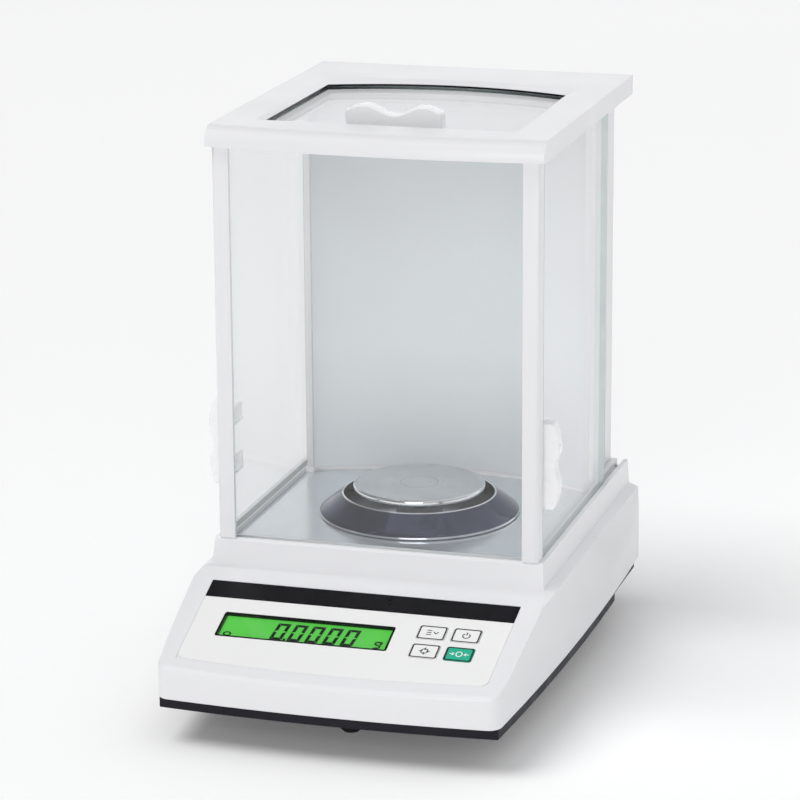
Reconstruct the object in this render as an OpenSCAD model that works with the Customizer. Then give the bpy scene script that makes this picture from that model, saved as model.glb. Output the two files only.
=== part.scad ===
// Analytical balance with a glass draft shield.
// Millimetres, +Z up, +Y to the back. The origin is under the middle of the object, on the bench.

/* [Base] */
// Greatest width of the base
base_width = 218; // [212:1:224]
// Full depth of the base
base_depth = 329; // [325:1:333]
// Height of the plinth deck over the bench
deck_z = 92; // [89:1:95]
// Height of the bottom tray over the bench
tray_z = 21; // [19:1:23]
// Slope of the console panel, degrees
console_slope = 18.7; // [17:0.1:20]
// Wall thickness of the moulded base
shell = 2.6; // [2.2:0.1:3]

/* [Draft shield] */
// Outside width over the front posts
shield_width = 194; // [190:1:198]
// Clear height from deck to roof
shield_height = 234.5; // [220:0.5:250]
// Thickness of the roof plate
roof_t = 11.8; // [11.6:0.1:13]
// Thickness of every glass pane
glass_t = 3.4; // [3:0.1:3.6]

/* [Weighing pan] */
// Diameter of the pan
pan_d = 80; // [70:1:84]
// Outer diameter of the wind ring
ring_d = 121; // [110:1:130]
// Height of the pan's face over the deck
pan_h = 15.4; // [14:0.2:18]

/* [Display and keys] */
// Width of the display window
lcd_w = 100; // [90:1:102]
// Height of the display window
lcd_h = 20; // [18:0.5:21]
// Width of a key
key_w = 16.2; // [14:0.2:17]
// Height of a key
key_h = 12.3; // [11:0.1:13]

/* [Hidden] */
$fn = 96;
eps = 0.01;
gap = 0.3;              // clearance between pieces that move past each other
front_y = -base_depth / 2;
rear_y = base_depth / 2;
shield_y = front_y + 107.5;   // front face of the draft shield
shell_z = tray_z + 6.2;       // lower edge of the white housing
roof_z = deck_z + shield_height;
roof_top = roof_z + roof_t;
side_r = 2900;          // plan radius of the bowed sides
front_r = 1050;         // plan radius of the bowed front
bow_y = shield_y + 120; // where the base is widest
corner_r = 8;           // plan radius of the base's front corners
ledge_z = deck_z - 17.5;
plinth_w = 201;         // width of the raised plinth at its foot
slope_y = shield_y - 22.5;    // top edge of the sloped panel
slope_z = deck_z - 18.2;
pan_y = shield_y + 90;
door_x = shield_width / 2 - 2.2;  // middle plane of a side door
door_y0 = shield_y + 12.4;
door_len = 154.6;
groove_w = glass_t + 0.7;
floor_w = 184;
floor_t = 1.2;
floor_pad = 6.2;        // depth of the pad that carries the floor under the deck
floor_z = deck_z - 3;   // face of the chamber floor
ring_h = 13;            // height of the wind ring
ring_open_r = 45.6;     // radius of its opening
back_r = 191.5;         // plan radius of the curved back panel
back_c = shield_y - 16.5;
back_t = 2;
col_y = shield_y + 151; // front face of the rear columns
jamb_x = 87.2;          // chamber side of a column's front jamb
cell_z = 52.6;          // top of the weighing cell's rear block, which carries the sensor
col_screw = [84, col_y + 12.5];
post_screw = [shield_width / 2 - 3.6, shield_y + 5];
pane_z0 = deck_z - 3.4; // lower edge of the panes in their grooves
pane_top = roof_z + 4;
pane_h = pane_top - pane_z0;
top_glass_z = roof_top - 3.3 - glass_t;
open_w = 149;           // clear width of the roof opening
open_y0 = shield_y + 29;
open_y1 = shield_y + 167;
handle_l = 58;
handle_t = 9.5;
handle_h = 12;
side_handle_l = 52;
side_handle_h = 9.5;
foot_x = 80;
foot_y = shield_y + 178;
screw_r = 1.6;
lcd_x = -24.5;
lcd_v = -41.1;
key_x = [48.6, 68.8];
key_v = [-32.4, -49.4];
post_w = 10;

// ---- shared shapes -------------------------------------------------------------------------------------

// Half width of the base at a given y, and the y of its bowed front at a given x
function half_w(y) = base_width / 2 - side_r + sqrt(side_r * side_r - (y - bow_y) * (y - bow_y));
function bow_front(x) = front_y + front_r - sqrt(front_r * front_r - x * x);

// Right half of the base's outline, from the middle of the bowed front to the rear,
// moved inwards by i, with corner radius r
function half_plan(i, r, steps = 8) =
  let (x1 = half_w(front_y + 4.6 + r) - i, y0 = bow_front(x1 - r) + i, y1 = rear_y - i)
  concat(
    [for (k = [1:steps]) let (x = (x1 - r) * k / steps) [x, bow_front(x) + i]],
    [for (k = [1:6]) [x1 - r + r * sin(15 * k), y0 + r - r * cos(15 * k)]],
    [for (k = [1:steps]) let (y = y0 + r + (y1 - y0 - r) * k / steps) [half_w(y) - i, y]]
  );

module base_plan(i = 0, r = corner_r) {
  right = half_plan(i, r);
  last = len(right) - 1;
  polygon(concat([[0, front_y + i]], right, [for (k = [last:-1:0]) [-right[k][0], right[k][1]]]));
}

// Solid of the base outside (i = 0) or of its hollow (i = wall)
module base_solid(i = 0) {
  half = base_width / 2;
  intersection() {
    translate([0, 0, shell_z - i]) linear_extrude(deck_z) base_plan(i, corner_r - i);
    // side walls lean in towards the top
    translate([0, rear_y, 0]) rotate([90, 0, 0]) linear_extrude(base_depth)
      polygon([[-half - i, shell_z - i], [half - i, shell_z - i], [half - 2.6 - i, ledge_z - i],
               [100.6 - i, ledge_z + 2.4 - i], [99.4 - i, deck_z + 1], [i - 99.4, deck_z + 1],
               [i - 100.6, ledge_z + 2.4 - i], [i - half + 2.6, ledge_z - i], [i - half, shell_z - i]]);
    // console slope, level shelf and plinth front
    translate([-half, 0, 0]) rotate([90, 0, 90]) linear_extrude(base_width)
      polygon([[front_y, shell_z - i], [front_y, console_z(front_y) - i], [slope_y, slope_z - i],
               [shield_y - 3 + i, ledge_z - i], [shield_y + i, deck_z - 1.5 - i],
               [shield_y + 1.2 + i, deck_z - i], [rear_y - i, deck_z - i], [rear_y - i, shell_z - i]]);
  }
}

// Height of the console's sloped plane at a given y
function console_z(y) = slope_z + (y - slope_y) * tan(console_slope);

// Moves children to the sloped panel: x across, y up the slope, z out of it
module on_slope(x = 0, v = 0, n = 0) {
  translate([0, slope_y, slope_z]) rotate([console_slope, 0, 0]) translate([x, v, n]) children();
}

module mirror_x() {
  children();
  mirror([1, 0, 0]) children();
}

// Rectangle with rounded corners, centred
module rounded(w, h, r) {
  square([w - 2 * r, h], center = true);
  square([w, h - 2 * r], center = true);
  for (x = [-1, 1], y = [-1, 1])
    translate([x * (w / 2 - r), y * (h / 2 - r)]) circle(r);
}

// Sector of the curved back, as a ring between two radii
module back_arc(r0, r1, half_w) {
  intersection() {
    translate([0, back_c]) difference() {
      circle(r1);
      circle(r0);
    }
    translate([-half_w, shield_y + 100]) square([2 * half_w, 90]);
  }
}

// Points of the roof opening: straight sides, rear edge on an arc
function opening_pts(w, y0, y1, r) = concat(
  [[-w / 2, y0], [w / 2, y0]],
  [for (k = [0:14]) let (x = w / 2 - w * k / 14) [x, y1 - r + sqrt(r * r - x * x)]]
);

// Height of a grip's edge at x: bumps at the share `at` of its length, a dip between them, and lower ends
function grip_edge(x, l, h, dip, at) =
  abs(x) < at * l ? h * (1 - dip * (1 + cos(180 * x / (at * l))) / 2)
                  : h * (1 - 0.34 * pow((abs(x) - at * l) / ((0.5 - at) * l), 2));

// Finger grip in its own frame: length on x, thickness on y, height on z
module grip(l, t, h, dip, at) {
  corner = 2.4;
  steps = 28;
  x1 = l / 2 - corner;
  z1 = grip_edge(x1, l, h, dip, at);
  right = [for (k = [0:5]) [x1 + corner * cos(k * 15), z1 - corner + corner * sin(k * 15)]];
  edge = [for (k = [0:steps]) let (x = x1 - 2 * x1 * k / steps) [x, grip_edge(x, l, h, dip, at)]];
  left = [for (k = [5:-1:0]) [-x1 - corner * cos(k * 15), z1 - corner + corner * sin(k * 15)]];
  translate([0, t, 0]) rotate([90, 0, 0]) linear_extrude(t)
    polygon(concat([[-l / 2, 0], [l / 2, 0]], right, edge, left));
}

// ---- base ----------------------------------------------------------------------------------------------

module housing() color("whitesmoke") {
  difference() {
    union() {
      difference() {
        base_solid(0);
        base_solid(shell);
      }
      housing_bosses();
    }
    chamber_cuts();
    console_cuts();
    rear_cuts();
  }
}

boss_xy = [[-86, -120], [86, -120], [-92, 20], [92, 20], [-86, 148], [86, 148]];

// Screw bosses for the tray, and ribs that carry the floor and the door grooves under the deck
module housing_bosses() {
  intersection() {
    union() {
      for (p = boss_xy) translate([p[0], p[1], shell_z + 4]) cylinder(r = 4, h = deck_z - shell_z - 4);
      translate([0, 0, deck_z - floor_pad]) linear_extrude(floor_pad - 1) floor_plan(2.5);
      mirror_x() translate([door_x - 5.4, shield_y + 8, deck_z - 6.8]) cube([12, 208, 5]);
      for (x = [-74, 74], v = [-60, -22]) on_slope(x, v, -11.4) cylinder(r = 2.5, h = 11);
    }
    base_solid(shell / 2);
  }
}

// Floor recess, stem hole, grooves for the panes, screw holes
module chamber_cuts() {
  translate([0, 0, floor_z - floor_t]) linear_extrude(floor_t + 6) floor_plan(0.15);
  translate([0, pan_y, deck_z - 20]) cylinder(r = 13, h = 30);
  mirror_x() {
    translate([door_x - groove_w / 2, door_y0 - 1, deck_z - 4]) cube([groove_w, base_depth, 6]);
    translate([plinth_w / 2 - 14, rear_y - 27, deck_z - 1.6]) cube([2.2, 25, 4]);
  }
  translate([-90, shield_y + 3.1, deck_z - 2.2]) cube([180, glass_t + 0.2, 5]);
  for (p = boss_xy) translate([p[0], p[1], shell_z]) cylinder(r = screw_r, h = 16);
  mirror_x() for (p = [post_screw, col_screw])
    translate([p[0], p[1], deck_z - 6]) cylinder(r = screw_r, h = 8);
}

// Recesses for the overlay and the strip, windows for the display and the keys
module console_cuts() {
  on_slope(0, 0, -0.6) linear_extrude(3) overlay_plan(0);
  on_slope(lcd_x, lcd_v, -10) linear_extrude(12) rounded(lcd_w + 2.8, lcd_h + 2.8, 1.5);
  for (x = key_x, v = key_v)
    on_slope(x, v, -10) linear_extrude(12) rounded(key_w + 2 * gap, key_h + 2 * gap, 1.8);
}

// Openings for the rear sockets
module rear_cuts() {
  translate([10, rear_y - 6, 44]) cube([66, 8, 24]);
  translate([-56, rear_y - 30, deck_z - 5]) cylinder(r = 9.2, h = 10);
}

module base_tray() color("midnightblue") {
  difference() {
    union() {
      translate([0, 0, tray_z]) linear_extrude(shell_z - tray_z - gap) tray_plan(0.8, 1);
      translate([0, 0, shell_z - 1]) linear_extrude(5) tray_plan(shell + 0.5, corner_r - shell);
    }
    translate([0, 0, tray_z + 2.6]) linear_extrude(20) tray_plan(shell + 2.6, corner_r - shell - 2);
    for (p = boss_xy) translate([p[0], p[1], tray_z - 1]) {
      cylinder(r = 1.8, h = 10);
      cylinder(r = 3.4, h = 2.2);
    }
    for (x = [-foot_x, foot_x]) translate([x, foot_y, tray_z - 1]) cylinder(r = 5, h = 10);
    for (k = [-4:4]) translate([-30, k * 9, tray_z - 1]) cube([60, 3, 6]);
  }
  for (p = boss_xy) translate([p[0], p[1], tray_z + 1.2]) difference() {
    cylinder(r = 4, h = shell_z + 3.7 - tray_z - 1.2);
    translate([0, 0, -1]) cylinder(r = 1.8, h = 20);
  }
}

// The tray follows the base with sharper corners, set back at the front, and narrows behind the bow
module tray_plan(i, r) {
  difference() {
    intersection() {
      base_plan(i, r);
      translate([0, 2.2]) base_plan(i, r);
    }
    mirror_x() translate([base_width / 2 - 3.2 - i, bow_y + 31]) square([20, 100]);
    translate([-base_width, rear_y - 2 - i]) square([2 * base_width, 20]);
  }
}

module front_foot() color("black") {
  translate([0, shield_y - 53, 0]) rotate_extrude()
    polygon([[0, 0], [4.6, 0], [6.2, 1.6], [6.8, tray_z - 2], [9, tray_z - 0.6], [9, tray_z], [0, tray_z]]);
}

// Threaded insert held in the tray over a levelling foot
module foot_insert(s) color("goldenrod") {
  translate([s * foot_x, foot_y, tray_z]) difference() {
    union() {
      cylinder(r = 5, h = 12);
      translate([0, 0, 2.6]) cylinder(r = 8, h = 2.4);
    }
    translate([0, 0, -1]) cylinder(r = 3.05, h = 20);
  }
}
module foot_insert_left() foot_insert(-1);
module foot_insert_right() foot_insert(1);

// Knurled wheel with its stud
module foot_wheel(s) color("dimgray") {
  translate([s * foot_x, foot_y, 0]) {
    difference() {
      translate([0, 0, 7]) cylinder(r = 15, h = 7);
      for (k = [0:23]) rotate(k * 15) translate([15.6, 0, 6]) cylinder(r = 1.2, h = 9, $fn = 24);
    }
    translate([0, 0, 5]) cylinder(r = 3, h = 27);
    translate([0, 0, 3.4]) sphere(r = 3.2);
  }
}
module foot_wheel_left() foot_wheel(-1);
module foot_wheel_right() foot_wheel(1);

// Soft pad that the stud's ball turns in
module foot_pad(s) color("black") {
  translate([s * foot_x, foot_y, 0]) difference() {
    rotate_extrude() polygon([[0, 0], [9, 0], [9.5, 0.6], [9.5, 2.6], [6.5, 5.2], [0, 5.2]]);
    translate([0, 0, 3.4]) sphere(r = 3.25);
    translate([0, 0, 3.4]) cylinder(r = 3.2, h = 4);
  }
}
module foot_pad_left() foot_pad(-1);
module foot_pad_right() foot_pad(1);

// ---- console -------------------------------------------------------------------------------------------

// Outline of the printed panel, in the plane of the slope
module overlay_plan(i) {
  intersection() {
    polygon([[-93 + i, -1 - i], [93 - i, -1 - i], [91.2 - i, -82], [i - 91.2, -82]]);
    translate([0, -79 + 1015]) circle(1015 - i);
  }
}

module control_overlay() color("white") {
  on_slope(0, 0, -0.6) difference() {
    linear_extrude(0.6) difference() {
      overlay_plan(0.15);
      translate([lcd_x, lcd_v]) rounded(lcd_w + 2.6, lcd_h + 2.6, 1.5);
      for (x = key_x, v = key_v) translate([x, v]) rounded(key_w + 2 * gap, key_h + 2 * gap, 1.8);
    }
    translate([-100, -16.9, 0.2]) cube([200, 17, 2]);
  }
}

module trim_strip() color("black") {
  on_slope(0, 0, -0.4) linear_extrude(0.6) intersection() {
    overlay_plan(0.3);
    translate([-100, -16.7]) square([200, 15.1]);
  }
}

module lcd_bezel() color("black") {
  on_slope(lcd_x, lcd_v, -3) linear_extrude(3.1) difference() {
    rounded(lcd_w + 2.4, lcd_h + 2.4, 1.4);
    square([lcd_w, lcd_h], center = true);
  }
}

module lcd_window() color("palegreen", 0.4) {
  on_slope(lcd_x, lcd_v, -1.6) linear_extrude(1.4) square([lcd_w - 0.1, lcd_h - 0.1], center = true);
}

module lcd_module() color("limegreen") {
  on_slope(lcd_x, lcd_v, -6) linear_extrude(4.3) square([lcd_w - 0.4, lcd_h - 0.4], center = true);
  on_slope(lcd_x, lcd_v, -9.6) linear_extrude(3.6) square([lcd_w + 8, lcd_h + 8], center = true);
}

// Board under the panel, with one switch under each key
module display_board() color("darkgreen") {
  on_slope(0, -41, -13) linear_extrude(1.6) square([158, 50], center = true);
  for (x = key_x, v = key_v) on_slope(x, v, -11.4) {
    linear_extrude(2) square([6, 6], center = true);
    cylinder(r = 1.7, h = 3);
  }
}

// Key cap with a skirt and a plunger over its switch
module key_cap(x, v) {
  on_slope(x, v, -0.9) linear_extrude(1.2) rounded(key_w, key_h, 1.5);
  on_slope(x, v, -7.8) cylinder(r = 2.4, h = 7.4);
}
module key_menu() color("white") key_cap(key_x[0], key_v[0]);
module key_power() color("white") key_cap(key_x[1], key_v[0]);
module key_calibrate() color("white") key_cap(key_x[0], key_v[1]);
module key_tare() color("seagreen") key_cap(key_x[1], key_v[1]);

// ---- weighing chamber ----------------------------------------------------------------------------------

module floor_plan(i) {
  difference() {
    intersection() {
      translate([0, back_c]) circle(back_r + i - 0.2);
      translate([-floor_w / 2 - i, shield_y + 8 - i]) square([floor_w + 2 * i, 200]);
    }
    mirror_x() translate([jamb_x - gap + i, col_y - gap + i]) square([40, 60]);
  }
}

module chamber_floor() color("silver") {
  translate([0, 0, floor_z - floor_t]) linear_extrude(floor_t) difference() {
    floor_plan(0);
    translate([0, pan_y]) circle(11);
  }
}

// Collar that lines the stem hole and centres the wind ring
module floor_bush() color("whitesmoke") {
  translate([0, pan_y, floor_z]) rotate_extrude()
    polygon([[7, -6], [10.8, -6], [10.8, 0], [14, 0], [14, 1.4], [9, 4], [7, 4]]);
}

module wind_ring() color("lightgray") {
  r = ring_d / 2;
  r1 = ring_open_r;
  translate([0, pan_y, floor_z]) rotate_extrude()
    polygon([[r - 3, 0], [r - 0.4, 0], [r, 0.6], [r, 1.8], [r1 + 1.2, ring_h - 0.6], [r1 + 0.6, ring_h],
             [r1, ring_h - 0.4], [r1, ring_h - 1.6], [r - 2.6, 1.2]]);
}

// Flat disc with a rolled rim and three feet that locate on the carrier
module weighing_pan() color("silver") {
  r = pan_d / 2;
  translate([0, pan_y, deck_z + pan_h]) {
    rotate_extrude()
      polygon([[0, -1.6], [r - 2.4, -1.6], [r - 2.4, -3.6], [r - 0.4, -3.6], [r, -3.1], [r, -1.2],
               [r - 0.3, -0.5], [r - 0.8, -0.15], [r - 1.5, 0], [0, 0]]);
    difference() {
      translate([0, 0, -6.6]) cylinder(r = 8, h = 5.2);
      translate([0, 0, -7]) cylinder(r = 4.05, h = 4.6);
    }
  }
}

// Stem and seat that carry the pan from the weighing cell
module pan_carrier() color("silver") {
  translate([0, pan_y, 0]) {
    translate([0, 0, 52]) cylinder(r = 4, h = deck_z + pan_h - 2.6 - 52);
    translate([0, 0, deck_z + pan_h - 8.4]) cylinder(r = 6.6, h = 1.8);
    translate([-7, -5, 46]) cube([14, 10, 6]);
  }
}

// ---- draft shield --------------------------------------------------------------------------------------

// Front post: rounded outer corner, thin front flange that covers the edge of the front glass
module post_left() mirror([1, 0, 0]) post_solid();
module post_right() post_solid();
module post_solid() color("whitesmoke") {
  x1 = shield_width / 2;
  translate([0, 0, deck_z]) linear_extrude(shield_height) difference() {
    union() {
      translate([x1 - post_w, shield_y]) square([post_w - 2, post_w]);
      translate([x1 - post_w, shield_y + 2]) square([post_w, post_w - 2]);
      translate([x1 - 2, shield_y + 2]) circle(2);
    }
    translate([x1 - post_w - 1, shield_y + 3.1]) square([4.4, post_w]);
    translate(post_screw) circle(screw_r);
  }
}

// Rear column: narrow front jamb, seat behind the curved panel, side wall with fins, rear return
module column_solid() color("whitesmoke") {
  translate([0, 0, deck_z]) linear_extrude(shield_height) difference() {
    union() {
      translate([79, col_y]) square([12, 17]);
      translate([86, col_y + 16]) square([2.6, rear_y - col_y - 16]);
      translate([80, rear_y - 2.6]) square([8.6, 2.6]);
      for (k = [0:2]) translate([88, col_y + 24 + k * 13]) square([1.4, 2]);
    }
    back_arc(back_r, back_r + back_t, 88);
    back_arc(back_r / 2, back_r + eps, jamb_x);
    translate(col_screw) circle(screw_r);
  }
}
module column_left() mirror([1, 0, 0]) column_solid();
module column_right() column_solid();

module front_glass() color("lightcyan", 0.3) {
  translate([-89.8, shield_y + 3.2, deck_z - 2.1]) cube([179.6, glass_t, shield_height + 4.3]);
}

module back_panel() color("lightsteelblue") {
  translate([0, 0, deck_z]) linear_extrude(shield_height) back_arc(back_r, back_r + back_t, 87.9);
}

roof_front_r = 735;
roof_front = shield_y - 9.7;

// Roof plate with a quarter-round front edge that follows the bowed front
module roof_blank() {
  lip = 10;
  intersection() {
    translate([-100, roof_front - 1, roof_z - 1]) cube([200, rear_y - roof_front + 1, roof_t + 2]);
    translate([0, roof_front + roof_front_r, roof_z]) rotate_extrude() intersection() {
      union() {
        square([roof_front_r - lip, roof_t]);
        translate([roof_front_r - lip, roof_t - lip]) circle(lip);
      }
      square([roof_front_r, roof_t]);
    }
  }
}

module roof_frame() color("whitesmoke") {
  difference() {
    roof_blank();
    // opening with a bevelled surround
    hull() {
      translate([0, 0, roof_top - 1.6]) linear_extrude(eps)
        polygon(opening_pts(open_w, open_y0, open_y1, back_r));
      translate([0, 0, roof_top]) linear_extrude(1)
        polygon(opening_pts(open_w + 8, open_y0 - 5, open_y1 + 7, 400));
    }
    translate([0, 0, roof_z - 1]) linear_extrude(roof_t)
      polygon(opening_pts(open_w - 5, open_y0 + 2, open_y1 - 2, back_r));
    translate([0, 0, roof_top - 3]) linear_extrude(1.2)
      polygon(opening_pts(open_w + 3, open_y0 - 1.5, open_y1 + 1.5, back_r));
    translate([0, 0, top_glass_z]) linear_extrude(roof_t)
      polygon(opening_pts(open_w, open_y0, open_y1, back_r));
    // slot that the top glass slides in, open at the back
    translate([-open_w / 2 - 6.6, open_y0 - 2, top_glass_z - 0.3])
      cube([open_w + 13.2, base_depth, glass_t + 0.6]);
    // grooves for the panes
    mirror_x() translate([door_x - groove_w / 2, door_y0 - 1, roof_z - 1])
      cube([groove_w, base_depth, 5.4]);
    translate([-90, shield_y + 3.1, roof_z - 1]) cube([180, glass_t + 0.2, 3.4]);
    mirror_x() {
      for (p = [post_screw, col_screw]) translate([p[0], p[1], roof_z - 1]) cylinder(r = screw_r, h = 7);
    }
  }
}

// Black lip between the plate's rim and the sliding top glass
module opening_gasket() color("black") {
  translate([0, 0, roof_top - 3]) linear_extrude(1.2) difference() {
    polygon(opening_pts(open_w + 2.9, open_y0 - 1.4, open_y1 + 1.4, back_r));
    polygon(opening_pts(open_w, open_y0, open_y1, back_r));
  }
}

module top_glass() color("lightcyan", 0.3) {
  translate([-open_w / 2 - 6, open_y0 - 1.6, top_glass_z]) cube([open_w + 12, 147, glass_t]);
}

module top_handle() color("whitesmoke") {
  translate([0, shield_y + 40, top_glass_z + glass_t]) grip(handle_l, handle_t, handle_h, 0.46, 0.3);
}

module door_glass(s) color("lightcyan", 0.3) {
  translate([s * door_x - glass_t / 2, door_y0, pane_z0]) cube([glass_t, door_len, pane_h]);
}
module door_glass_left() door_glass(-1);
module door_glass_right() door_glass(1);

// Grip outside the pane, with two fingers that clip round its front edge
module door_handle_solid() color("whitesmoke") {
  z0 = deck_z + 55;
  x0 = door_x + glass_t / 2;
  web = 1.6;
  translate([x0, door_y0 - web, z0]) rotate([0, 90, 0])
    grip(side_handle_l, handle_t, side_handle_h, 0.24, 0.2);
  for (z = [-15, 15]) {
    translate([x0 - glass_t - web, door_y0 - web, z0 + z - 5.5]) cube([web, 19.6, 11]);
    translate([x0 - glass_t - web, door_y0 - web, z0 + z - 5.5]) cube([glass_t + web + 1, web, 11]);
  }
}
module door_handle_left() mirror([1, 0, 0]) door_handle_solid();
module door_handle_right() door_handle_solid();

// ---- level, sockets, inside parts ----------------------------------------------------------------------

module level_cup() color("whitesmoke") {
  translate([-56, rear_y - 30, deck_z]) difference() {
    union() {
      translate([0, 0, -5]) cylinder(r = 9, h = 5);
      cylinder(r = 11, h = 1.4);
    }
    translate([0, 0, -4]) cylinder(r = 7.6, h = 8);
  }
}

module level_vial() color("yellowgreen", 0.5) {
  translate([-56, rear_y - 30, deck_z - 4]) cylinder(r = 7.5, h = 4.6);
}

module port_plate() color("dimgray") {
  difference() {
    translate([7, rear_y - shell - 1.6, 41]) cube([72, 1.6, 30]);
    translate([24, rear_y - 8, 56]) rotate([-90, 0, 0]) cylinder(r = 5.6, h = 10);
    translate([37, rear_y - 8, 50]) cube([31.6, 10, 12]);
  }
}

module dc_jack() color("black") {
  translate([24, rear_y - 18, 56]) rotate([-90, 0, 0]) difference() {
    union() {
      cylinder(r = 5.5, h = 17);
      translate([0, 0, 12.6]) cylinder(r = 6.6, h = 1.1);
    }
    translate([0, 0, 8]) cylinder(r = 2.8, h = 20);
  }
  translate([24, rear_y - 12, 56]) rotate([-90, 0, 0]) cylinder(r = 1, h = 9);
}

module port_pin() rotate([-90, 0, 0]) cylinder(r = 0.5, h = 6);

module data_port() color("silver") {
  difference() {
    translate([37.2, rear_y - 16, 50.2]) cube([31.2, 15.2, 11.6]);
    translate([40.8, rear_y - 6, 52.4]) cube([24, 8, 7.2]);
  }
  pitch = 4.4;
  for (k = [0:4]) translate([44 + k * pitch, rear_y - 8, 57.4]) port_pin();
  for (k = [0:3]) translate([44 + (k + 0.5) * pitch, rear_y - 8, 54.6]) port_pin();
}

module cell_frame() color("silver") {
  translate([-30, pan_y - 16, tray_z + 2.6]) cube([60, 116, 6]);
  translate([-26, pan_y + 12, tray_z + 8.6]) difference() {
    cube([52, 22, 52]);
    translate([8, -1, 8]) cube([36, 30, 36]);
  }
  translate([-26, pan_y + 80, tray_z + 8.6]) cube([52, 18, cell_z - tray_z - 8.6]);
}

// Upper and lower flexure guides between the fixed frame and the stem
module cell_guides() color("lightgray") {
  for (z = [44.4, 72.2]) translate([0, pan_y, z]) difference() {
    translate([-22, -8, 0]) cube([44, 20, 1.2]);
    translate([0, 0, -1]) cylinder(r = 9.6, h = 4);
  }
}

module cell_lever() color("gainsboro") {
  translate([-4, pan_y + 5.3, 50]) cube([8, 70.7, 7]);
  translate([-0.5, pan_y + 75, 55]) cube([1, 10, 3]);
}

module magnet_yoke() color("dimgray") {
  translate([0, pan_y + 62, tray_z + 8.6]) difference() {
    cylinder(r = 17, h = 17.4);
    translate([0, 0, 5]) cylinder(r = 13, h = 20);
  }
  translate([0, pan_y + 62, tray_z + 12]) cylinder(r = 8, h = 14);
}

module force_coil() color("peru") {
  translate([0, pan_y + 62, tray_z + 16]) difference() {
    cylinder(r = 11.6, h = 50 - tray_z - 16);
    translate([0, 0, -1]) cylinder(r = 9.2, h = 13);
  }
}

module position_sensor() color("black") {
  translate([-9, pan_y + 78.4, cell_z]) difference() {
    cube([18, 8, 16]);
    translate([4.6, -1, 1.4]) cube([8.8, 10, 20]);
  }
}

module main_board() color("darkgreen") {
  translate([-84, shield_y - 10, 34]) cube([50, 150, 1.6]);
  for (k = [0:3]) translate([-78, shield_y + 4 + k * 32, 35.6]) cube([18, 14, 3]);
  for (k = [0:2]) translate([-46, shield_y + 12 + k * 40, 35.6]) cylinder(r = 5, h = 14);
  for (x = [-80, -38], y = [shield_y - 6, shield_y + 136])
    translate([x, y, tray_z + 2.6]) cylinder(r = 2.5, h = 34 - tray_z - 2.6);
}

module tray_screws() color("dimgray") {
  for (p = boss_xy) translate([p[0], p[1], tray_z]) {
    difference() {
      cylinder(r = 3, h = 1.2);
      translate([-2, -0.4, -1]) cube([4, 0.8, 1.6]);
    }
    cylinder(r = screw_r, h = 20);
  }
}

// Screws that hold the posts and columns down to the deck
module column_screws() color("dimgray") {
  mirror_x() for (p = [post_screw, col_screw])
    translate([p[0], p[1], deck_z - 6]) cylinder(r = screw_r, h = 16);
}

housing();
base_tray();
front_foot();
foot_insert_left();
foot_insert_right();
foot_wheel_left();
foot_wheel_right();
foot_pad_left();
foot_pad_right();
control_overlay();
trim_strip();
lcd_bezel();
lcd_window();
lcd_module();
display_board();
key_menu();
key_power();
key_calibrate();
key_tare();
chamber_floor();
floor_bush();
wind_ring();
weighing_pan();
pan_carrier();
post_left();
post_right();
column_left();
column_right();
front_glass();
back_panel();
roof_frame();
opening_gasket();
top_glass();
top_handle();
door_glass_left();
door_glass_right();
door_handle_left();
door_handle_right();
level_cup();
level_vial();
dc_jack();
data_port();
port_plate();
cell_frame();
cell_guides();
cell_lever();
magnet_yoke();
force_coil();
position_sensor();
main_board();
tray_screws();
column_screws();
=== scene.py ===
"""Looks of the analytical balance: refined pieces, procedural materials, soft studio light."""

import math

import bmesh
import bpy
from mathutils import Matrix, Vector


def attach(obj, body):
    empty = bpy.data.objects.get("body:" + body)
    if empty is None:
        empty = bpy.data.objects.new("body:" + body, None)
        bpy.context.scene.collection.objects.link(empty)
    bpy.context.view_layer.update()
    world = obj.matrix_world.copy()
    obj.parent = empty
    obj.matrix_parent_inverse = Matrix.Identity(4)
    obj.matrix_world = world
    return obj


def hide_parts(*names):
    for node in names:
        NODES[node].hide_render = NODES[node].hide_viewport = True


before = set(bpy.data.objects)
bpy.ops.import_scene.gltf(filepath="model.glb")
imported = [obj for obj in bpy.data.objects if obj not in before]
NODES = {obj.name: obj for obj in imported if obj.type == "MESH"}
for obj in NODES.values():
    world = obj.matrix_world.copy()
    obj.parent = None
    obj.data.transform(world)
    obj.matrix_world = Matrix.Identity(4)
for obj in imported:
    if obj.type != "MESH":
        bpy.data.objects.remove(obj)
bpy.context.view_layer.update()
MM = 0.001

# Sloped console plane: origin at the middle of its top edge, x across, y up the slope, z out of it
SLOPE = Matrix.Translation((0, -79.5 * MM, 73.8 * MM)) @ Matrix.Rotation(math.radians(18.7), 4, "X")
KEY_SIZE = (16.2, 12.3)
KEYS = {"menu": (48.6, -32.4), "power": (68.8, -32.4), "calibrate": (48.6, -49.4), "tare": (68.8, -49.4)}
DECK_Z = 92.0  # top of the plinth, in mm
RING_TOP = DECK_Z + 10
PAN_Y = 33.0
WELD_DISTANCE = 2e-6  # metres; the CAD mesh has separate points where its faces meet


# ---- materials -----------------------------------------------------------------------------------------

def srgb(r, g, b):
    """An sRGB colour in 0-255 as linear RGBA."""
    def lin(v):
        v /= 255
        return v / 12.92 if v <= 0.04045 else ((v + 0.055) / 1.055) ** 2.4
    return (lin(r), lin(g), lin(b), 1.0)


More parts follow.
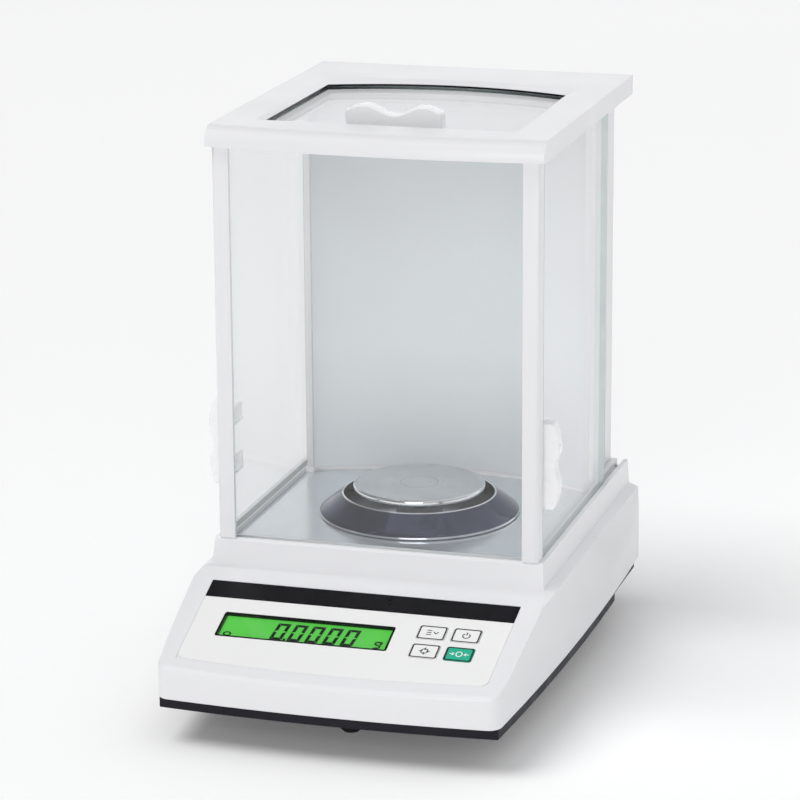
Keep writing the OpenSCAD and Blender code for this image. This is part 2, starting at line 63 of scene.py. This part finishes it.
class Graph:
    """A material's node tree, with short calls for adding and joining nodes."""

    def __init__(self, name):
        self.mat = bpy.data.materials.new(name)
        self.mat.use_nodes = True
        self.tree = self.mat.node_tree
        self.tree.nodes.clear()
        self.out = self.add("ShaderNodeOutputMaterial")
        self.coord = self.add("ShaderNodeTexCoord").outputs["Object"]

    def add(self, kind, **props):
        node = self.tree.nodes.new(kind)
        for key, value in props.items():
            setattr(node, key, value)
        return node

    def join(self, a, b):
        self.tree.links.new(a, b)

    def noise(self, scale, detail=3.0, stretch=None):
        """Noise value over the object, in cycles per metre, optionally stretched along the axes."""
        tex = self.add("ShaderNodeTexNoise")
        tex.inputs["Scale"].default_value = scale
        tex.inputs["Detail"].default_value = detail
        source = self.coord
        if stretch:
            mapping = self.add("ShaderNodeMapping")
            mapping.inputs["Scale"].default_value = stretch
            self.join(self.coord, mapping.inputs["Vector"])
            source = mapping.outputs["Vector"]
        self.join(source, tex.inputs["Vector"])
        return tex.outputs["Fac"]

    def ramp(self, value, low, high, start=0.35, end=0.65):
        """value between start and end becomes low to high."""
        node = self.add("ShaderNodeMapRange")
        self.join(value, node.inputs["Value"])
        for key, number in (("From Min", start), ("From Max", end), ("To Min", low), ("To Max", high)):
            node.inputs[key].default_value = number
        return node.outputs["Result"]

    def blend(self, factor, a, b):
        node = self.add("ShaderNodeMix", data_type="RGBA")
        self.join(factor, node.inputs["Factor"])
        node.inputs["A"].default_value = a
        node.inputs["B"].default_value = b
        return node.outputs["Result"]

    def tinted(self, factor, color):
        """color times factor."""
        node = self.add("ShaderNodeVectorMath", operation="SCALE")
        self.join(color, node.inputs[0])
        self.join(factor, node.inputs["Scale"])
        return node.outputs["Vector"]

    def bump(self, height, strength, distance):
        node = self.add("ShaderNodeBump")
        node.inputs["Strength"].default_value = strength
        node.inputs["Distance"].default_value = distance
        self.join(height, node.inputs["Height"])
        return node.outputs["Normal"]


def shade(color, amount):
    return tuple(min(1.0, c * amount) for c in color[:3]) + (1.0,)


def surface(name, color, rough, metal=0.0, vary=0.05, rough_vary=0.06, patch=22.0, grain=2600.0, bump=0.05,
            coat=0.0, stretch=None, emission=None, specular=0.5, alpha=1.0, painted_height_shade=None):
    """Principled material with slow colour and gloss patches and a fine surface grain.

    painted_height_shade: (low, high, share), heights in metres between which the colour falls to that share
    of itself, as painted shade.
    """
    g = Graph(name)
    bsdf = g.add("ShaderNodeBsdfPrincipled")
    g.join(bsdf.outputs["BSDF"], g.out.inputs["Surface"])
    bsdf.inputs["Metallic"].default_value = metal
    bsdf.inputs["Coat Weight"].default_value = coat
    bsdf.inputs["Coat Roughness"].default_value = 0.12
    bsdf.inputs["Specular IOR Level"].default_value = specular
    bsdf.inputs["Alpha"].default_value = alpha
    slow = g.noise(patch, 4.0)
    fine = g.noise(grain, 2.0, stretch)
    tone = g.blend(g.ramp(slow, 0.0, 1.0), shade(color, 1 - vary), shade(color, 1 + vary))
    if painted_height_shade:
        low, high, share = painted_height_shade
        parts = g.add("ShaderNodeSeparateXYZ")
        g.join(g.coord, parts.inputs["Vector"])
        tone = g.tinted(g.ramp(parts.outputs["Z"], 1.0, share, low, high), tone)
    g.join(tone, bsdf.inputs["Base Color"])
    gloss = g.ramp(g.noise(patch * 3.1, 5.0), rough - rough_vary, rough + rough_vary)
    g.join(gloss, bsdf.inputs["Roughness"])
    g.join(g.bump(fine, bump, 0.0002), bsdf.inputs["Normal"])
    if emission:
        bsdf.inputs["Emission Color"].default_value = color
        bsdf.inputs["Emission Strength"].default_value = emission
    return g.mat


MARK_HALF_WIDTH = 0.35 * MM  # of a circle engraved in turned metal


def turned(name, color, rough, rings, bump, vary=0.06, mark=None):
    """Metal turned round the pan's axis: fine rings, and an engraved circle of radius mark in metres."""
    g = Graph(name)
    bsdf = g.add("ShaderNodeBsdfPrincipled")
    g.join(bsdf.outputs["BSDF"], g.out.inputs["Surface"])
    bsdf.inputs["Metallic"].default_value = 1.0
    shift = g.add("ShaderNodeMapping")
    shift.inputs["Location"].default_value = (0, -PAN_Y * MM, 0)
    g.join(g.coord, shift.inputs["Vector"])
    parts = g.add("ShaderNodeSeparateXYZ")
    g.join(shift.outputs["Vector"], parts.inputs["Vector"])
    flat = g.add("ShaderNodeCombineXYZ")
    g.join(parts.outputs["X"], flat.inputs["X"])
    g.join(parts.outputs["Y"], flat.inputs["Y"])
    radius = g.add("ShaderNodeVectorMath", operation="LENGTH")
    g.join(flat.outputs["Vector"], radius.inputs[0])
    line = g.add("ShaderNodeCombineXYZ")
    g.join(radius.outputs["Value"], line.inputs["X"])
    tex = g.add("ShaderNodeTexNoise")
    tex.inputs["Scale"].default_value = rings
    tex.inputs["Detail"].default_value = 2.0
    g.join(line.outputs["Vector"], tex.inputs["Vector"])
    g.join(g.ramp(tex.outputs["Fac"], rough * 0.7, rough * 1.3), bsdf.inputs["Roughness"])
    tone = g.blend(g.ramp(g.noise(45.0, 4.0), 0.0, 1.0), shade(color, 1 - vary), shade(color, 1 + vary))
    if mark:
        near = g.add("ShaderNodeMath", operation="COMPARE")
        near.inputs[1].default_value = mark
        near.inputs[2].default_value = MARK_HALF_WIDTH
        g.join(radius.outputs["Value"], near.inputs[0])
        engraved = g.add("ShaderNodeMix", data_type="RGBA")
        g.join(near.outputs["Value"], engraved.inputs["Factor"])
        g.join(tone, engraved.inputs["A"])
        engraved.inputs["B"].default_value = shade(color, 0.72)
        tone = engraved.outputs["Result"]
    g.join(tone, bsdf.inputs["Base Color"])
    g.join(g.bump(tex.outputs["Fac"], bump, 0.00008), bsdf.inputs["Normal"])
    return g.mat


SMEAR = 0.02            # highest roughness of the smears on glass
FRESNEL_POWER = 5.0     # how steeply a pane's reflection rises towards a glancing view


def pane(name, tint, straight=0.035):
    """Clear glass sheet with faint smears.

    It reflects the share `straight` of the light when seen face on, and all of it at a glance.
    """
    g = Graph(name)
    clear = g.add("ShaderNodeBsdfTransparent")
    clear.inputs["Color"].default_value = tint
    gloss = g.add("ShaderNodeBsdfGlossy")
    gloss.inputs["Color"].default_value = (1, 1, 1, 1)
    g.join(g.ramp(g.noise(14.0, 4.0), 0.0, SMEAR), gloss.inputs["Roughness"])
    facing = g.add("ShaderNodeLayerWeight").outputs["Facing"]
    power = g.add("ShaderNodeMath", operation="POWER")
    power.inputs[1].default_value = FRESNEL_POWER
    g.join(facing, power.inputs[0])
    mix = g.add("ShaderNodeMixShader")
    g.join(g.ramp(power.outputs["Value"], straight, 1.0, 0.0, 1.0), mix.inputs["Fac"])
    g.join(clear.outputs["BSDF"], mix.inputs[1])
    g.join(gloss.outputs["BSDF"], mix.inputs[2])
    g.join(mix.outputs["Shader"], g.out.inputs["Surface"])
    return g.mat


WHITE = surface("white_moulding", srgb(238, 238, 240), 0.34, vary=0.008, patch=9.0, grain=1500.0,
                bump=0.025, coat=0.15)
# The grips are white plastic; their colour is set lighter than the moulding's as painted light, standing in
# for the bounce light they miss from below.
LIT_GRIP = surface("white_grip_painted_light", srgb(251, 251, 252), 0.3, vary=0.01, patch=30.0, bump=0.02, coat=0.2)
CLIP = surface("clear_clip", srgb(253, 253, 253), 0.25, vary=0.01, bump=0.02, coat=0.3, alpha=0.3)
FILM = surface("panel_film", srgb(244, 244, 243), 0.42, vary=0.006, patch=12.0, grain=3800.0, bump=0.03)
NAVY = surface("navy_tray", srgb(20, 19, 30), 0.5, vary=0.12, grain=1300.0, bump=0.12, specular=0.25)
BLACK = surface("gloss_black", srgb(14, 13, 18), 0.3, vary=0.1, rough_vary=0.03, bump=0.01, specular=0.2)
INK = surface("print_black", srgb(18, 18, 20), 0.5, vary=0.15, bump=0.04)
PRINT_WHITE = surface("print_white", srgb(240, 250, 246), 0.45, vary=0.02, bump=0.02)
TEAL = surface("key_teal", srgb(36, 184, 150), 0.4, vary=0.04, bump=0.03)
RUBBER = surface("black_rubber", srgb(24, 24, 26), 0.72, vary=0.2, grain=900.0, bump=0.2)
LCD = surface("lcd_green", srgb(84, 192, 70), 0.4, vary=0.06, patch=14.0, bump=0.01, emission=0.24)
DIGIT = surface("lcd_segment", srgb(8, 20, 12), 0.5, vary=0.2, bump=0.01, specular=0.2)
# The back panel's colour darkens towards its top: painted shade, so its lower part reads as the better lit.
BACK = surface("back_grey", srgb(247, 251, 254), 0.42, vary=0.01, patch=7.0, grain=2200.0, bump=0.03,
               coat=0.1, painted_height_shade=(0.17, 0.33, 0.68))
MIRROR = surface("floor_mirror", srgb(214, 219, 224), 0.16, metal=0.6, vary=0.03, rough_vary=0.04,
                 patch=26.0, bump=0.012, grain=420.0)
CHROME = turned("ring_chrome", srgb(84, 88, 108), 0.11, 260.0, bump=0.02, vary=0.22)
# Bright copy of the ring's metal for its top rim, its lower lip and the pan's outer side: a painted
# highlight.
RIM_HIGHLIGHT = turned("ring_rim_painted_highlight", srgb(238, 240, 243), 0.08, 300.0, bump=0.02)
# Dark copy of the ring's metal for its inner wall: painted shade.
RING_INSIDE_SHADE = surface("ring_inside_painted_shade", srgb(44, 44, 50), 0.3, metal=1.0, vary=0.15, bump=0.05)
STEEL = turned("pan_steel", srgb(202, 205, 208), 0.24, 1400.0, bump=0.1, mark=11.5 * MM)
PLATED = surface("plated_steel", srgb(176, 176, 178), 0.3, metal=1.0, vary=0.08, bump=0.06)
ALLOY = surface("cast_alloy", srgb(182, 184, 188), 0.38, metal=1.0, vary=0.06, grain=1700.0, bump=0.1)
IRON = surface("magnet_iron", srgb(96, 96, 102), 0.4, metal=1.0, vary=0.12, bump=0.1)
BRASS = surface("brass", srgb(190, 152, 84), 0.32, metal=1.0, vary=0.1, bump=0.06)
COPPER = surface("copper_winding", srgb(186, 108, 66), 0.34, metal=1.0, vary=0.1, grain=5200.0, bump=0.5,
                 stretch=(0.05, 0.05, 1.0))
BOARD = surface("circuit_board", srgb(20, 92, 52), 0.45, vary=0.16, grain=1600.0, bump=0.1)
SOCKET = surface("socket_black", srgb(30, 30, 32), 0.48, vary=0.15, bump=0.08)
PLATE = surface("plate_grey", srgb(88, 88, 94), 0.45, metal=0.3, vary=0.08, bump=0.08)
PANE = pane("pane_glass", (0.99, 0.993, 0.992, 1.0))
PANE_EDGE = surface("pane_edge", srgb(196, 214, 211), 0.2, vary=0.06, patch=60.0, bump=0.02, coat=0.5)
WINDOW = pane("display_window", (0.97, 0.99, 0.97, 1.0), straight=0.01)
SPIRIT = surface("level_spirit", srgb(186, 205, 70), 0.08, vary=0.05, bump=0.005, coat=1.0)


# ---- mesh helpers --------------------------------------------------------------------------------------

COPLANAR = 0.15      # degrees; faces that meet flatter than this are one face
BEVEL_ANGLE = 35.0   # degrees; folds sharper than this get a broken edge

def finish_piece(bm, name, mat, body, sharp=32.0):
    """Makes an object of bm in the row frame, smooth-shaded but for its sharp edges, riding on body."""
    mesh = bpy.data.meshes.new(name)
    bmesh.ops.recalc_face_normals(bm, faces=bm.faces)
    bm.to_mesh(mesh)
    bm.free()
    mesh.shade_smooth()
    mesh.set_sharp_from_angle(angle=math.radians(sharp))
    obj = bpy.data.objects.new(name, mesh)
    bpy.context.scene.collection.objects.link(obj)
    obj.data.materials.append(mat)
    weigh = obj.modifiers.new("even_normals", "WEIGHTED_NORMAL")
    weigh.keep_sharp = True
    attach(obj, body)
    return obj


def rebuilt(node, body, mat, rules, least=25.0):
    """A CAD node's mesh with rounded edges.

    rules: (width in mm, segments, test of an edge's middle and direction); least: smallest fold, degrees.
    """
    bm = bmesh.new()
    bm.from_mesh(NODES[node].data)
    bmesh.ops.remove_doubles(bm, verts=bm.verts, dist=WELD_DISTANCE)
    bmesh.ops.dissolve_limit(bm, angle_limit=math.radians(COPLANAR), verts=bm.verts, edges=bm.edges)
    for width, segments, test in rules:
        edges = []
        for e in bm.edges:
            if len(e.link_faces) == 2 and e.calc_face_angle() > math.radians(least):
                a, b = e.verts[0].co / MM, e.verts[1].co / MM
                if test((a + b) / 2, (b - a).normalized()):
                    edges.append(e)
        bmesh.ops.bevel(bm, geom=edges, offset=width * MM, segments=segments, profile=0.5, affect="EDGES",
                        clamp_overlap=True)
    obj = finish_piece(bm, node + "_look", mat, body)
    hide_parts(node)
    return obj


def ring_face(bm, outer, inner, low, high, to):
    """Solid between two outlines (inner may be None), from low to high along z, placed by to."""
    n = len(outer)
    def loop(points, z):
        return [bm.verts.new(to @ Vector((x * MM, y * MM, z * MM))) for x, y in points]
    o0, o1 = loop(outer, low), loop(outer, high)
    if inner is None:
        bm.faces.new(o0[::-1])
        bm.faces.new(o1)
    else:
        i0, i1 = loop(inner, low), loop(inner, high)
    for k in range(n):
        m = (k + 1) % n
        bm.faces.new((o0[k], o0[m], o1[m], o1[k]))
        if inner is not None:
            bm.faces.new((i0[m], i0[k], i1[k], i1[m]))
            bm.faces.new((o1[k], o1[m], i1[m], i1[k]))
            bm.faces.new((i0[k], i0[m], o0[m], o0[k]))


def rounded_rect(cx, cy, w, h, r, steps=6):
    """Outline of a rounded rectangle."""
    points = []
    for sx, sy, start in ((1, 1, 0), (-1, 1, 90), (-1, -1, 180), (1, -1, 270)):
        for k in range(steps + 1):
            a = math.radians(start + 90 * k / steps)
            x, y = cx + sx * (w / 2 - r), cy + sy * (h / 2 - r)
            points.append((x + r * math.cos(a), y + r * math.sin(a)))
    return points


def arc(cx, cy, r, start, end, steps=24, squash=1.0):
    turns = [math.radians(start + (end - start) * k / steps) for k in range(steps + 1)]
    return [(cx + r * math.cos(a), cy + squash * r * math.sin(a)) for a in turns]


def stroke(bm, points, width, low, high, to):
    """A drawn line of constant width along an open run of points."""
    left, right = [], []
    for k, (x, y) in enumerate(points):
        ax, ay = points[max(k - 1, 0)]
        bx, by = points[min(k + 1, len(points) - 1)]
        length = math.hypot(bx - ax, by - ay)
        nx, ny = -(by - ay) / length * width / 2, (bx - ax) / length * width / 2
        left.append((x + nx, y + ny))
        right.append((x - nx, y - ny))
    for k in range(len(points) - 1):
        ring_face(bm, [left[k], left[k + 1], right[k + 1], right[k]][::-1], None, low, high, to)


def keep(node, mat, bevel=0.25, segments=2):
    """Shows a CAD node as it is, with a material and edges broken by bevel, in mm (0 for none)."""
    obj = NODES[node]
    obj.data.materials.clear()
    obj.data.materials.append(mat)
    for poly in obj.data.polygons:
        poly.material_index = 0
    if bevel:
        weld = obj.modifiers.new("weld", "WELD")
        weld.merge_threshold = WELD_DISTANCE
        edge = obj.modifiers.new("broken_edges", "BEVEL")
        edge.width = bevel * MM
        edge.segments = segments
        edge.limit_method = "ANGLE"
        edge.angle_limit = math.radians(BEVEL_ANGLE)
        edge.harden_normals = True
    return obj


# ---- base and console ----------------------------------------------------------------------------------

FRONT_Y = -164.5
SHIELD_Y = -57.0
REAR_Y = 164.5
SIDE_X = 109.0          # half the width, where the bowed sides are widest
WIDEST_Y = 63.0
SIDE_R = 2900.0         # plan radius of the bowed sides
FRONT_R = 1050.0        # plan radius of the bowed front
LOWER_EDGE_Z = 27.5     # the housing's lower edge lies below this, and its creases above CREASE_Z
CREASE_Z = 42.0


def on_outline(m, depth=2.5):
    """Is the point within depth of the base's bowed outline? All in mm."""
    side = SIDE_X - SIDE_R + math.sqrt(SIDE_R ** 2 - (m.y - WIDEST_Y) ** 2)
    front = FRONT_Y + FRONT_R - math.sqrt(FRONT_R ** 2 - m.x ** 2)
    return abs(m.x) > side - depth or m.y < front + depth or m.y > REAR_Y - 1


# Tests of an edge for rebuilt: m is its middle in mm, d its direction
def on_front_crease(m, d):
    return m.y < -150 and m.z > CREASE_Z and abs(d.z) < 0.4 and on_outline(m)


def on_lower_edge(m, d):
    return m.z < LOWER_EDGE_Z and abs(d.z) < 0.1 and on_outline(m)


def on_plinth_top(m, d):
    outer = abs(m.x) > 98 or m.y < SHIELD_Y + 2 or m.y > REAR_Y - 1
    return m.z > DECK_Z - 2.5 and outer and abs(d.z) < 0.6


def on_side_crease(m, d):
    return abs(m.x) > 95 and m.z > CREASE_Z and abs(d.z) < 0.5


def on_plinth(m, d):
    return on_plinth_top(m, d) or (on_side_crease(m, d) and m.z < DECK_Z - 3)


def on_tray_edge(m, d):
    return m.z < 21.5 and abs(d.z) < 0.1 and on_outline(m, 4)


HOUSING_RULES = [(4.0, 5, on_front_crease), (1.6, 3, on_plinth), (3.2, 4, on_lower_edge)]
rebuilt("housing", "base", WHITE, HOUSING_RULES)
rebuilt("base_tray", "base", NAVY, [(0.6, 2, on_tray_edge)])
keep("front_foot", RUBBER, 0.4)
for side in ("left", "right"):
    keep("foot_insert_" + side, BRASS)
    keep("foot_wheel_" + side, SOCKET, 0.3)
    keep("foot_pad_" + side, RUBBER, 0.3)


def on_film_corner(m, d):
    return abs(m.x) > 80 and m.y < -140 and abs(d.z) > 0.5


rebuilt("control_overlay", "base", FILM, [(5.0, 6, on_film_corner)])
keep("trim_strip", BLACK, 0.0)
keep("lcd_bezel", BLACK, 0.2)
keep("lcd_window", WINDOW, 0.0)
keep("lcd_module", LCD, 0.0)
keep("display_board", BOARD, 0.0)

# Display: slanted seven-segment figures, a stability ring and a small unit mark
SLANT = math.tan(math.radians(7))
FIGURES_X = (-40.3, -29.8, -19.3, -8.8, 1.7)
UNIT_X = 19.4
FIGURE = (7.5, 15.0, 2.0)  # width, height and bar of a figure
UNIT = (4.4, 6.4, 1.2)
BASELINE = -49.0
POINT = (-35.1, BASELINE + 0.8, 1.5, 1.6, 0.3)  # centre, width, height and corner radius
STABLE_MARK = (-69.6, -47.6)
BAR_GAP = 0.12
INK_LOW, INK_HIGH = -1.69, -1.63  # between the display's face and its window
ZERO = ("top", "low", "ul", "ur", "ll", "lr")
UNIT_BARS = ("top", "mid", "low", "ul", "ur", "lr")


def segment_bars(w, h, t):
    """The bars of a figure as convex outlines, mitred at the corners, with narrow gaps between them."""
    g = BAR_GAP
    x, mid, half = w / 2, h / 2, t / 2
    bars = {"mid": [(g - x + half, mid), (g - x + t, mid + half), (x - t - g, mid + half),
                    (x - half - g, mid), (x - t - g, mid - half), (g - x + t, mid - half)],
            "top": [(g - x, h), (x - g, h), (x - t - g, h - t), (g - x + t, h - t)],
            "low": [(x - g, 0), (g - x, 0), (g - x + t, t), (x - t - g, t)]}
    for name, s in (("l", -1), ("r", 1)):
        edge, back = s * x, s * (x - t)
        bars["u" + name] = [(edge, h - g), (edge, mid + g), (back, mid + half), (back, h - t - g)]
        bars["l" + name] = [(edge, g), (edge, mid - g), (back, mid - half), (back, t + g)]
    return bars


def draw_figure(bm, x, size, names):
    """The named bars of a figure of that size, slanted, standing on the base line at x."""
    for name, outline in segment_bars(*size).items():
        if name in names:
            slanted = [(x + px + py * SLANT, BASELINE + py) for px, py in outline]
            ring_face(bm, slanted, None, INK_LOW, INK_HIGH, SLOPE)


bm = bmesh.new()
for x in FIGURES_X:
    draw_figure(bm, x, FIGURE, ZERO)
draw_figure(bm, UNIT_X, UNIT, UNIT_BARS)
ring_face(bm, rounded_rect(*POINT), None, INK_LOW, INK_HIGH, SLOPE)
outer, inner = (arc(*STABLE_MARK, r, 0, 345, 23, squash) for r, squash in ((2.5, 0.8), (1.5, 0.76)))
ring_face(bm, outer, inner, INK_LOW, INK_HIGH, SLOPE)
finish_piece(bm, "display_figures", DIGIT, "base")

# Keys: soft-edged caps with a printed outline and a plain symbol each
PROUD = 0.3  # height of a key's face over the slope
PRINT_LOW, PRINT_HIGH = PROUD - 0.02, PROUD + 0.03
OUTLINE_INSET = 0.4
SYMBOL_LINE = 0.65


def key_marks(key, x, v):
    """Lines of a key's symbol, drawn in mm about the key's centre (x, v)."""
    if key == "power":
        return [arc(x, v - 0.2, 2.1, 125, 415), [(x, v + 0.4), (x, v + 2.9)]]
    if key == "menu":
        lines = [[(x - 3.2, v + dv), (x - 0.3, v + dv)] for dv in (-1.9, 0, 1.9)]
        return lines + [[(x + 1.0, v + 0.9), (x + 2.3, v - 0.9)], [(x + 2.3, v - 0.9), (x + 3.6, v + 0.9)]]
    if key == "calibrate":
        ticks = ((0, 1), (0, -1), (1, 0), (-1, 0))
        return [arc(x, v, 2.0, 0, 360)] + [[(x + 3.1 * a, v + 3.1 * b), (x + a, v + b)] for a, b in ticks]
    lines = [arc(x, v, 1.7, 0, 360, 24, 1.25)]
    for s in (-1, 1):
        tip = (x + 2.8 * s, v)
        lines += [[(x + 5.6 * s, v), tip], [(x + 4.1 * s, v + 1.1), tip], [(x + 4.1 * s, v - 1.1), tip]]
    return lines


def top_edges(m, d):
    """Is the edge on a key's face?"""
    local = SLOPE.inverted() @ (m * MM) / MM
    return local.z > PROUD - 0.1


for key, (x, v) in KEYS.items():
    body = key + "_key"
    teal = key == "tare"
    rebuilt("key_" + key, body, TEAL if teal else FILM, [(0.2, 2, top_edges)])
    line = 0.95 if teal else 0.85
    w, h = (side - OUTLINE_INSET for side in KEY_SIZE)
    bm = bmesh.new()
    ring_face(bm, rounded_rect(x, v, w, h, 1.3), rounded_rect(x, v, w - 2 * line, h - 2 * line, 0.9),
              PRINT_LOW, PRINT_HIGH, SLOPE)
    finish_piece(bm, "outline_" + key, INK, body)
    bm = bmesh.new()
    for points in key_marks(key, x, v):
        stroke(bm, points, SYMBOL_LINE, PRINT_LOW, PRINT_HIGH, SLOPE)
    finish_piece(bm, "symbol_" + key, PRINT_WHITE if teal else INK, body)

# ---- chamber -------------------------------------------------------------------------------------------

keep("chamber_floor", MIRROR, 0.2)
keep("floor_bush", WHITE, 0.2)


def outwardness(poly):
    """How far a face looks away from the pan's axis: 1 outwards, -1 inwards."""
    away = poly.center - Vector((0, PAN_Y * MM, poly.center.z))
    return poly.normal.dot(away.normalized()) if away.length > MM else 0.0


RIM_DEPTH = 0.8  # height of the ring's bright top rim

ring = keep("wind_ring", CHROME, 0.3, 3)
ring.data.materials.append(RIM_HIGHLIGHT)
ring.data.materials.append(RING_INSIDE_SHADE)
# The ring's top rim and lower lip take the painted highlight.
for poly in ring.data.polygons:
    highlit_lip = outwardness(poly) > 0.99 and poly.center.z < DECK_Z * MM
    if highlit_lip or poly.center.z > (RING_TOP - RIM_DEPTH) * MM:
        poly.material_index = 1
    # Faces turned towards the pan take the painted shade.
    elif outwardness(poly) < -0.2:
        poly.material_index = 2
pan = keep("weighing_pan", STEEL, 0.35, 3)
pan.data.materials.append(RIM_HIGHLIGHT)
# The pan's outer side takes the painted highlight.
for poly in pan.data.polygons:
    poly.material_index = 1 if outwardness(poly) > 0.3 else 0
keep("pan_carrier", PLATED)

# ---- draft shield --------------------------------------------------------------------------------------

GRIP_X = 97.5       # a side grip lies outside this, its clip inside CLIP_X, and its fingers inside FINGER_X
CLIP_X = 97.0
FINGER_X = 93.3
OPENING_X = 84.0    # the edges of the roof opening lie inside this and above OPENING_Z
OPENING_Z = 335.5
TOP_GRIP_Z = 336.0
GRIP_RULES = [(1.5, 3, lambda m, d: abs(m.x) > GRIP_X), (0.3, 2, lambda m, d: abs(m.x) < CLIP_X)]


def on_roof_side(m, d):
    upright = abs(d.z) > 0.9
    return abs(m.x) > 99 if upright else abs(m.x) > 99 or m.y > REAR_Y - 0.5


def on_roof_opening(m, d):
    return abs(m.x) < OPENING_X and m.z > OPENING_Z


for side in ("left", "right"):
    keep("post_" + side, WHITE, 0.35)
    keep("column_" + side, WHITE, 0.35)
    grip = rebuilt("door_handle_" + side, side + "_door", LIT_GRIP, GRIP_RULES)
    grip.data.materials.append(CLIP)
    for poly in grip.data.polygons:
        poly.material_index = 1 if abs(poly.center.x) < FINGER_X * MM else 0
keep("back_panel", BACK, 0.0)
rebuilt("roof_frame", "base", WHITE, [(1.2, 3, on_roof_side), (0.3, 2, on_roof_opening)], least=40)
# The black strip on the roof opening's inner wall is painted shade for the shadowed gap between roof and
# top glass.
keep("opening_gasket", BLACK, 0.0)
rebuilt("top_handle", "top_door", LIT_GRIP, [(1.5, 3, lambda m, d: m.z > TOP_GRIP_Z)])


def glass(node):
    """A pane: clear faces, greenish ground edges."""
    obj = keep(node, PANE, 0.0)
    obj.data.materials.append(PANE_EDGE)
    thin = min(range(3), key=lambda k: obj.dimensions[k])
    for poly in obj.data.polygons:
        poly.material_index = 0 if abs(poly.normal[thin]) > 0.7 else 1


for node in ("front_glass", "top_glass", "door_glass_left", "door_glass_right"):
    glass(node)

# ---- sockets and inside --------------------------------------------------------------------------------

for node, mat, bevel in (
        ("level_cup", WHITE, 0.2), ("level_vial", SPIRIT, 0.3), ("dc_jack", SOCKET, 0.2),
        ("data_port", PLATED, 0.2), ("port_plate", PLATE, 0.2), ("cell_frame", ALLOY, 0.3),
        ("cell_guides", ALLOY, 0.3), ("cell_lever", ALLOY, 0.3), ("magnet_yoke", IRON, 0.3),
        ("force_coil", COPPER, 0.2), ("position_sensor", SOCKET, 0.2), ("main_board", BOARD, 0.0),
        ("tray_screws", PLATED, 0.15), ("column_screws", PLATED, 0.15)):
    keep(node, mat, bevel)

# ---- studio --------------------------------------------------------------------------------------------

def falloff(tree, value, edges, levels):
    """value over the first edge to the second becomes the first level to the second."""
    node = tree.nodes.new("ShaderNodeMapRange")
    for key, number in zip(("From Min", "From Max", "To Min", "To Max"), edges + levels):
        node.inputs[key].default_value = number
    tree.links.new(value, node.inputs["Value"])
    return node.outputs["Result"]


def combined(tree, operation, a, b):
    """The result of a maths operation on two values."""
    node = tree.nodes.new("ShaderNodeMath")
    node.operation = operation
    tree.links.new(a, node.inputs[0])
    tree.links.new(b, node.inputs[1])
    return node.outputs["Value"]


def studio_walls():
    """White surroundings: darker on the left, and brightest low down behind the object."""
    world = bpy.data.worlds.new("studio")
    bpy.context.scene.world = world
    world.use_nodes = True
    tree = world.node_tree
    coord = tree.nodes.new("ShaderNodeTexCoord")
    split = tree.nodes.new("ShaderNodeSeparateXYZ")
    tree.links.new(coord.outputs["Generated"], split.inputs["Vector"])
    height = falloff(tree, split.outputs["Z"], (0.2, 0.85), (0.46, 0.66))
    across = falloff(tree, split.outputs["X"], (-0.4, 0.35), (0.36, 0.98))
    dome = combined(tree, "MULTIPLY", height, across)
    low = falloff(tree, split.outputs["Z"], (0.35, 0.7), (1.0, 0.0))
    behind = falloff(tree, split.outputs["Y"], (0.3, 0.9), (0.0, 0.85))
    glow = combined(tree, "MULTIPLY", low, behind)
    tree.links.new(combined(tree, "ADD", dome, glow), tree.nodes["Background"].inputs["Strength"])
    tree.nodes["Background"].inputs["Color"].default_value = (0.98, 0.985, 1.0, 1)


KEY_PLACE = (-0.95, -0.6, 2.3)
FILL_PLACE = (0.3, -2.5, 0.9)
LIGHTS_AIM = Vector((0, 0, 0.15))


def studio():
    """White floor and surroundings, a broad overhead key from the upper left and a weak fill."""
    bpy.ops.mesh.primitive_plane_add(size=16, location=(0, 3, -0.0005))
    ground = bpy.context.object
    ground.name = "studio_floor"
    paper = surface("studio_floor", (0.96, 0.96, 0.96, 1), 0.85, vary=0.004, patch=1.0, bump=0.0,
                    emission=0.1)
    ground.data.materials.append(paper)
    studio_walls()
    key = bpy.data.lights.new("key", "SUN")
    key.energy = 1.42
    key.angle = math.radians(36)
    fill = bpy.data.lights.new("fill", "AREA")
    fill.energy = 13.0
    fill.size = 1.4
    for light, place in ((key, KEY_PLACE), (fill, FILL_PLACE)):
        lamp = bpy.data.objects.new(light.name, light)
        bpy.context.scene.collection.objects.link(lamp)
        lamp.location = place
        lamp.rotation_euler = (LIGHTS_AIM - Vector(place)).to_track_quat("-Z", "Y").to_euler()
        lamp.visible_glossy = light is fill


CAMERA_PLACE = Vector((552.53, -1874.82, 706.63)) * MM
CAMERA_AIM = Vector((6.45, -28.90, 175.67)) * MM
CAMERA_ROLL = -0.38  # degrees
CAMERA_LENS = 154.2


def photo_camera():
    """The camera at the photograph's place, from the fit to its edges."""
    data = bpy.data.cameras.new("photo_camera")
    data.lens = CAMERA_LENS
    data.sensor_width = 36
    data.clip_start = 0.1
    data.clip_end = 50
    cam = bpy.data.objects.new("photo_camera", data)
    bpy.context.scene.collection.objects.link(cam)
    view = (CAMERA_AIM - CAMERA_PLACE).to_track_quat("-Z", "Y").to_matrix().to_4x4()
    turn = view @ Matrix.Rotation(math.radians(CAMERA_ROLL), 4, "Z")
    cam.matrix_world = Matrix.Translation(CAMERA_PLACE) @ turn
    bpy.context.scene.camera = cam


studio()
photo_camera()
bpy.context.scene.view_settings.view_transform = "Standard"
